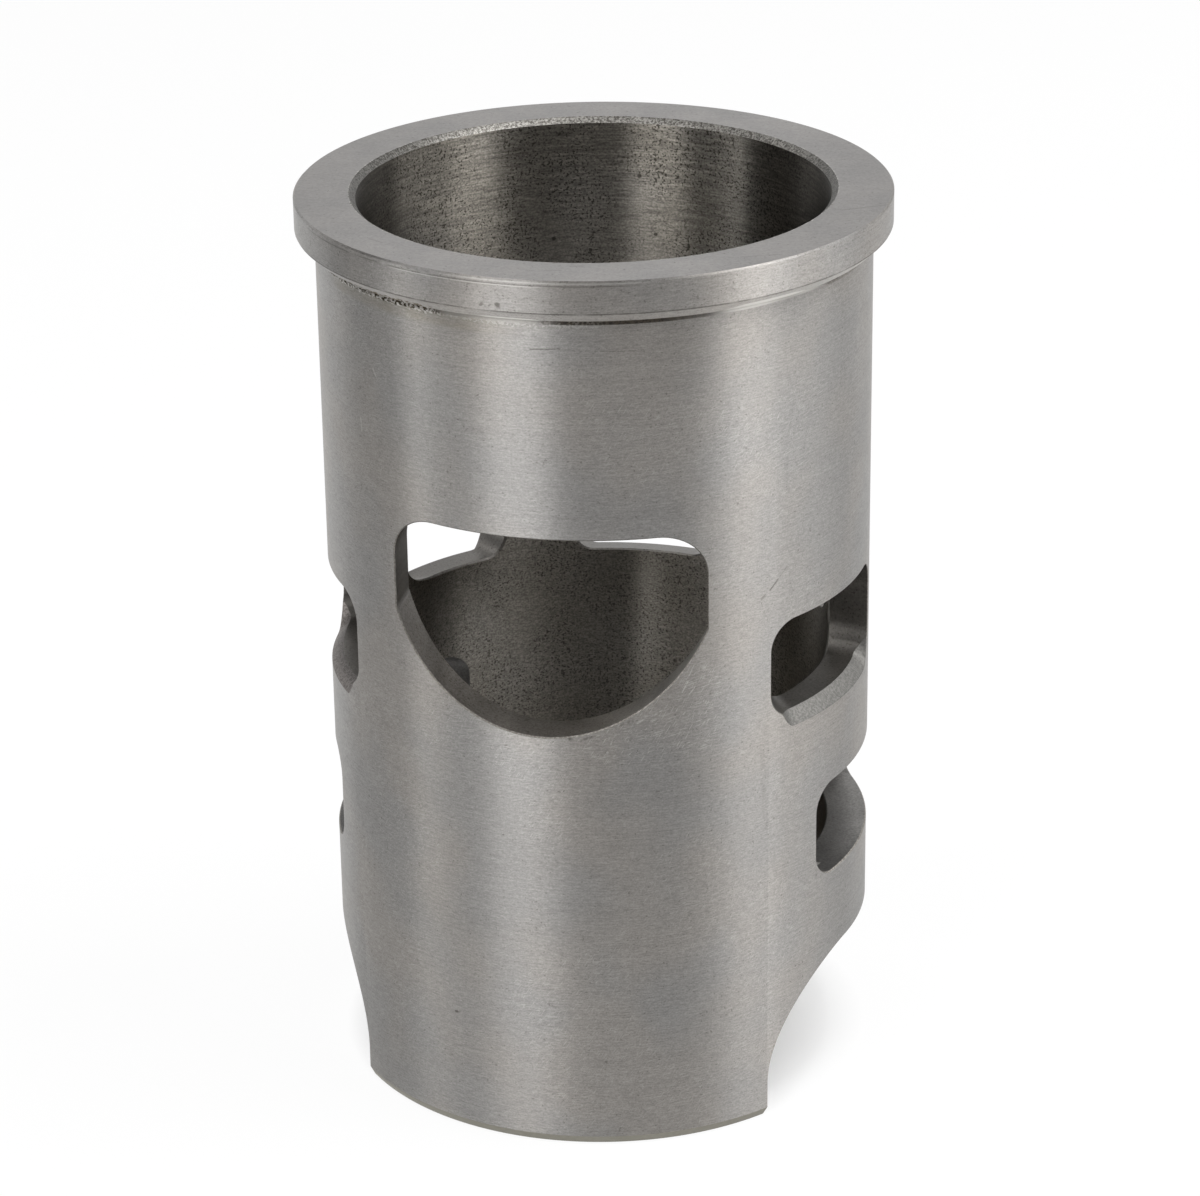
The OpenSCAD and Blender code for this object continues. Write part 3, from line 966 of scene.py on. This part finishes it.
def side_ports():
    """Front and rear transfer ports and lower windows, on both sides."""
    front = rounded_outline(
        (FRONT_FRONT_DIR, BODY_R * math.sin(math.radians(FRONT_FRONT_EDGE - FRONT_FRONT_DIR))),
        (FRONT_REAR_DIR, BODY_R * math.sin(math.radians(FRONT_REAR_EDGE - FRONT_REAR_DIR))),
        FRONT_FLOOR_Z, TRANSFER_ROOF_Z, TRANSFER_CORNER_R, TRANSFER_CORNER_R)
    rear = rounded_outline(
        (REAR_FRONT_DIR, BORE_R * math.sin(math.radians(REAR_FRONT_EDGE - REAR_FRONT_DIR))),
        (REAR_REAR_DIR, BORE_R * math.sin(math.radians(REAR_REAR_EDGE - REAR_REAR_DIR))),
        REAR_FLOOR_Z, TRANSFER_ROOF_Z, TRANSFER_CORNER_R, REAR_PORT_REAR_R)
    window = rounded_outline(
        (SIDE, WINDOW_FRONT_Y), (SIDE, WINDOW_REAR_Y),
        WINDOW_FLOOR_Z, WINDOW_ROOF_Z, WINDOW_CORNER_R, WINDOW_CORNER_R)
    port_rows = stations(MILLED, PORT_BORE_CHAMFER, PORT_EDGE_BREAK, FLOOR_CHAMFER)
    window_rows = stations(WINDOW, WINDOW_BORE_CHAMFER, WINDOW_OUTER_CHAMFER)
    cutters = []
    for mirror in (False, True):
        cutters.append(port_cutter("front transfer cutter", front, port_rows, mirror=mirror))
        cutters.append(port_cutter("rear transfer cutter", rear, port_rows, mirror=mirror))
        cutters.append(port_cutter("window cutter", window, window_rows, mirror=mirror))
    return cutters


def boost_cutter():
    """The rear boost port, let down towards the outside."""
    outline = rounded_outline(
        (REAR, -BOOST_HALF_W), (REAR, BOOST_HALF_W),
        BOOST_FLOOR_Z, TRANSFER_ROOF_Z, BOOST_CORNER_R, BOOST_CORNER_R)
    rows = stations(MILLED, PORT_BORE_CHAMFER, PORT_EDGE_BREAK, FLOOR_CHAMFER)
    return port_cutter("boost cutter", outline, rows, tilt=BOOST_TILT)


def skirt_cutter():
    """A long bar with two rounded upper edges, laid across the skirt."""
    clear_selection()
    size = Vector((SLOT_REACH, 2 * SLOT_HALF_W, SLOT_H + SLOT_BELOW)) * MM
    bpy.ops.mesh.primitive_cube_add(size=1.0, location=(0, 0, 0), scale=size)
    obj = bpy.context.object
    obj.name = "skirt cutter"
    bpy.ops.object.transform_apply(location=True, rotation=True, scale=True)
    for edge in obj.data.edges:
        a, b = (obj.data.vertices[i].co for i in edge.vertices)
        edge.select = a.z > 0 and b.z > 0 and abs(a.y - b.y) < MERGE_DISTANCE
    for item in list(obj.data.vertices) + list(obj.data.polygons):
        item.select = False
    for edge in obj.data.edges:
        if edge.select:
            for i in edge.vertices:
                obj.data.vertices[i].select = True
    bpy.ops.object.mode_set(mode="EDIT")
    bpy.context.tool_settings.mesh_select_mode = (False, True, False)
    bpy.ops.mesh.bevel(offset=SLOT_CORNER_R * MM, segments=SLOT_CORNER_STEPS, affect="EDGES")
    bpy.ops.object.mode_set(mode="OBJECT")
    obj.location = (0, 0, (SLOT_H - SLOT_BELOW) / 2 * MM)
    bpy.ops.object.transform_apply(location=True, rotation=True, scale=True)
    obj.rotation_euler = (0, math.radians(-SLOT_LEAN), math.radians(-SLOT_TURN))
    bpy.ops.object.transform_apply(location=True, rotation=True, scale=True)
    obj.data.materials.append(MILLED)
    return obj


def cut(obj, tool):
    """Takes the tool away from the object, with the tool's finish on the new faces."""
    make_active(obj)
    modifier = obj.modifiers.new("cut", "BOOLEAN")
    modifier.operation = "DIFFERENCE"
    modifier.solver = "EXACT"
    modifier.material_mode = "TRANSFER"
    modifier.object = tool
    bpy.ops.object.modifier_apply(modifier=modifier.name)
    bpy.data.objects.remove(tool, do_unlink=True)


def make_liner():
    """The turned blank with its finishes, cut by every port cutter and the skirt cutter."""
    liner = turn_blank()
    for mat in SLOTS:
        liner.data.materials.append(mat)
    for face in liner.data.polygons:
        r = math.hypot(*[c / MM for c in face.center[:2]])
        face.material_index = SLOTS.index(blank_material(r, face.center.z / MM))
    cutters = [port_cutter("exhaust cutter", exhaust_outline(),
                           stations(EXHAUST, PORT_BORE_CHAMFER, PORT_OUTER_CHAMFER))]
    cutters += side_ports() + [boost_cutter(), skirt_cutter()]
    for tool in cutters:
        cut(liner, tool)
    make_active(liner)
    bpy.ops.object.shade_smooth_by_angle(angle=math.radians(SMOOTH_ANGLE))
    return liner


liner = make_liner()
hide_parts("cylinder_liner")
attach(liner, "root")


# Stage: a pale floor, a pale wall behind, soft lamps and the photograph's viewpoint

# Lengths here are in metres and angles in degrees.
FLOOR_SIZE = 12.0
WALL_R = 2.5
WALL_H = 2.4
WALL_REACH = 60.0
WALL_FACETS = 96
PAPER_SHARE = 0.93
PAPER_COLOUR = (0.9, 0.9, 0.9, 1)
PAPER_ROUGHNESS = 0.9
WHITE = (1, 1, 1, 1)
ROOM_LIGHT = 0.17
LAMP_DISTANCE = 1.2
LAMP_AIM_Z = 0.08


def pale_paper():
    """White paper: plain white to the rays that see the background, else lit by the lamps."""
    mat = bpy.data.materials.new("pale paper")
    mat.use_nodes = True
    nodes, links = mat.node_tree.nodes, mat.node_tree.links
    paper = nodes["Principled BSDF"]
    paper.inputs["Base Color"].default_value = PAPER_COLOUR
    paper.inputs["Roughness"].default_value = PAPER_ROUGHNESS
    path = nodes.new("ShaderNodeLightPath")
    share = path.outputs["Is Camera Ray"]
    for ray in ("Is Glossy Ray", "Is Transmission Ray"):
        node = nodes.new("ShaderNodeMath")
        node.operation = "MAXIMUM"
        links.new(share, node.inputs[0])
        links.new(path.outputs[ray], node.inputs[1])
        share = node.outputs[0]
    # Inside the sleeve the paper is in the dark, so there it is only lit paper
    reach = nodes.new("ShaderNodeVectorMath")
    reach.operation = "LENGTH"
    links.new(nodes.new("ShaderNodeTexCoord").outputs["Object"], reach.inputs[0])
    outside = nodes.new("ShaderNodeMapRange")
    outside.inputs["From Min"].default_value = BORE_R * MM
    outside.inputs["From Max"].default_value = BODY_R * MM
    outside.inputs["To Max"].default_value = PAPER_SHARE
    links.new(reach.outputs["Value"], outside.inputs["Value"])
    node = nodes.new("ShaderNodeMath")
    node.operation = "MULTIPLY"
    links.new(share, node.inputs[0])
    links.new(outside.outputs["Result"], node.inputs[1])
    glow = nodes.new("ShaderNodeEmission")
    glow.inputs["Color"].default_value = WHITE
    glow.inputs["Strength"].default_value = 1.0
    mix = nodes.new("ShaderNodeMixShader")
    links.new(node.outputs[0], mix.inputs[0])
    links.new(paper.outputs[0], mix.inputs[1])
    links.new(glow.outputs[0], mix.inputs[2])
    links.new(mix.outputs[0], nodes["Material Output"].inputs["Surface"])
    return mat


def heading(azimuth, elevation):
    """The direction of an azimuth from -Y towards +X and an elevation, both in degrees."""
    a, e = math.radians(azimuth), math.radians(elevation)
    return Vector((math.sin(a) * math.cos(e), -math.cos(a) * math.cos(e), math.sin(e)))


def make_paper_sweep():
    """A large floor and a tall curved wall behind the liner, open towards the camera."""
    paper = pale_paper()
    clear_selection()
    bpy.ops.mesh.primitive_plane_add(size=FLOOR_SIZE, location=(0, 0, 0))
    floor = bpy.context.object
    floor.name = "floor"
    bpy.ops.mesh.primitive_cylinder_add(vertices=WALL_FACETS, radius=WALL_R, depth=WALL_H,
                                        end_fill_type="NOTHING", location=(0, 0, WALL_H / 2))
    wall = bpy.context.object
    wall.name = "backdrop"
    to_camera = heading(CAMERA_AZIMUTH, 0.0)
    bpy.context.tool_settings.mesh_select_mode = (False, False, True)
    for item in list(wall.data.vertices) + list(wall.data.edges):
        item.select = False
    for face in wall.data.polygons:
        face.select = face.center.normalized().dot(to_camera) > -math.cos(math.radians(WALL_REACH))
    bpy.ops.object.mode_set(mode="EDIT")
    bpy.ops.mesh.delete(type="FACE")
    bpy.ops.object.mode_set(mode="OBJECT")
    for piece in (floor, wall):
        piece.data.materials.append(paper)


def make_world():
    """A little even white light from all round."""
    world = bpy.data.worlds.new("studio")
    bpy.context.scene.world = world
    world.use_nodes = True
    background = world.node_tree.nodes["Background"]
    background.inputs["Color"].default_value = WHITE
    background.inputs["Strength"].default_value = ROOM_LIGHT


def lamp(name, azimuth, elevation, width, height, power):
    """A soft box that faces the liner. The azimuth is measured from the camera's."""
    light = bpy.data.lights.new(name, "AREA")
    light.shape = "RECTANGLE"
    light.size, light.size_y = width, height
    light.energy = power
    obj = bpy.data.objects.new(name, light)
    bpy.context.collection.objects.link(obj)
    place = heading(CAMERA_AZIMUTH + azimuth, elevation) * LAMP_DISTANCE
    obj.location = Vector((0, 0, LAMP_AIM_Z)) + place
    obj.rotation_euler = place.to_track_quat("Z", "Y").to_euler()


# The lamps, as (name, azimuth, elevation, width, height, power)
LAMPS = [
    ("left soft box", -34, 30, 0.52, 0.7, 7.0),
    ("left strip", -78, 43, 0.12, 1.5, 4.6),
    ("right soft box", 65.5, 30, 0.51, 0.7, 6.2),
    ("right side box", 100, 30, 0.67, 0.7, 4.6),
    ("high right box", 92, 60, 0.5, 0.6, 6.0),
    ("rear left box", -135, 30, 0.3, 0.7, 0.6),
    ("rear right box", 132, 30, 0.3, 0.7, 0.5),
    ("high front box", 16, 58, 0.5, 0.5, 0.9),
    ("top box", 0, 84, 0.8, 0.8, 1.6),
]

# The camera, worked out from the photograph
CAMERA_AZIMUTH = 11.9
CAMERA_ELEVATION = 23.094
CAMERA_ROLL = -0.822
CAMERA_DISTANCE = 0.7146
CAMERA_TARGET_Z = 0.08224
CAMERA_SIDE_STEP = 0.00011
CAMERA_LENS = 122.494
CAMERA_SENSOR = 36.0
CAMERA_CLIP = (0.01, 50.0)


def make_camera():
    """The photograph's viewpoint, looking at the liner's axis with a little roll."""
    a, roll = math.radians(CAMERA_AZIMUTH), math.radians(CAMERA_ROLL)
    back = heading(CAMERA_AZIMUTH, CAMERA_ELEVATION)
    level = Vector((math.cos(a), math.sin(a), 0))
    upright = back.cross(level)
    right = level * math.cos(roll) + upright * math.sin(roll)
    up = upright * math.cos(roll) - level * math.sin(roll)
    target = level * CAMERA_SIDE_STEP + Vector((0, 0, CAMERA_TARGET_Z))
    place = target + back * CAMERA_DISTANCE
    data = bpy.data.cameras.new("camera")
    data.sensor_fit = "HORIZONTAL"
    data.sensor_width = CAMERA_SENSOR
    data.lens = CAMERA_LENS
    data.clip_start, data.clip_end = CAMERA_CLIP
    camera = bpy.data.objects.new("camera", data)
    bpy.context.collection.objects.link(camera)
    turn = Matrix((right, up, back)).transposed().to_4x4()
    camera.matrix_world = Matrix.Translation(place) @ turn
    bpy.context.scene.camera = camera


make_paper_sweep()
make_world()
make_camera()
for row in LAMPS:
    lamp(*row)

bpy.context.scene.view_settings.view_transform = "Standard"
